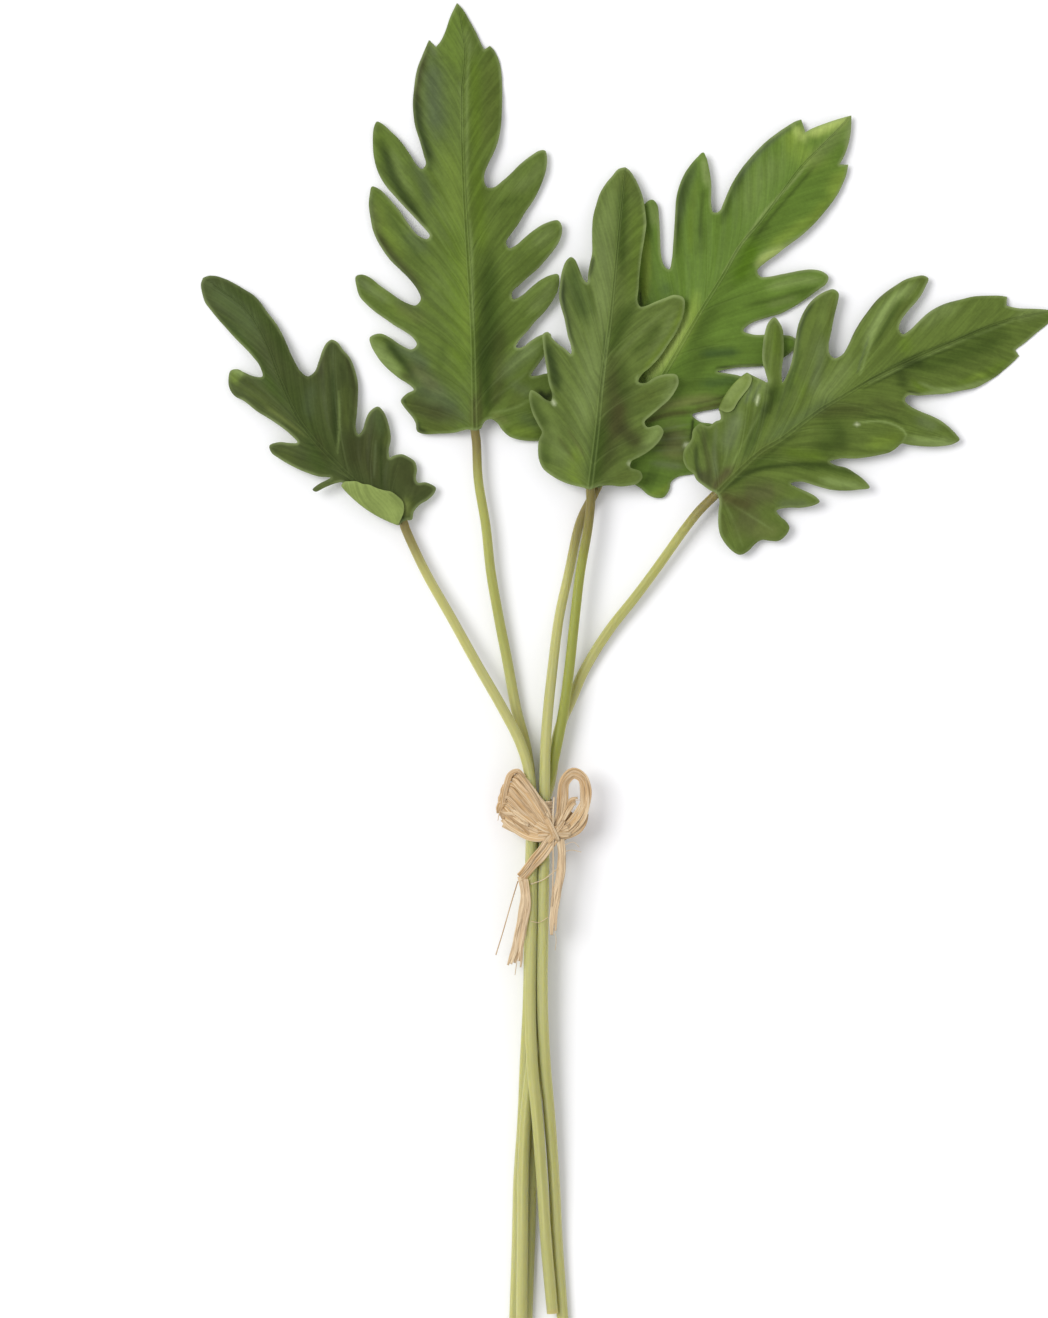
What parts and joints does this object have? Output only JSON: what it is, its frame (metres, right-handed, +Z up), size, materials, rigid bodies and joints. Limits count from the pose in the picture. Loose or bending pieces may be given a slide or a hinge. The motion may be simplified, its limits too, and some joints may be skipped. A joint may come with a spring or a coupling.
{
  "type": "tied bunch of split leaf philodendron leaves",
  "caption": "Cut bunch of deeply lobed philodendron leaves on long slender stalks, tied with a raffia bow and lying flat, for floral displays.",
  "frame": {"origin": "middle of the bunch's plan, on the surface it lies on", "axes": "+Y along the stalks towards the leaf tips, +Z up, with the leaves' upper faces up"},
  "size_m": [0.3588, 0.5602, 0.0189],
  "materials": {
    "leaf_1_green": "satin leaf surface, dark green with paler veins and margins",
    "leaf_2_green": "satin leaf surface, mid green with paler veins and margins",
    "leaf_3_green": "satin leaf surface, mid green, brownish toward the base",
    "leaf_4_green": "satin leaf surface, bright yellow-green, brownish toward the base",
    "leaf_5_green": "satin leaf surface, mid green, brownish toward the base",
    "stalk_green": "smooth pale yellow-green stalk, brownish at its upper end",
    "raffia": "dry straw-coloured raffia with lengthwise fibres"
  },
  "bodies": {
    "root": {"leaf_1_blade": "leaf_1_green", "leaf_1_stalk": "stalk_green", "leaf_2_blade": "leaf_2_green", "leaf_2_stalk": "stalk_green", "leaf_3_blade": "leaf_3_green", "leaf_3_stalk": "stalk_green", "leaf_4_blade": "leaf_4_green", "leaf_4_stalk": "stalk_green", "leaf_5_blade": "leaf_5_green", "leaf_5_stalk": "stalk_green", "raffia_tie": "raffia"}
  },
  "joints": []
}
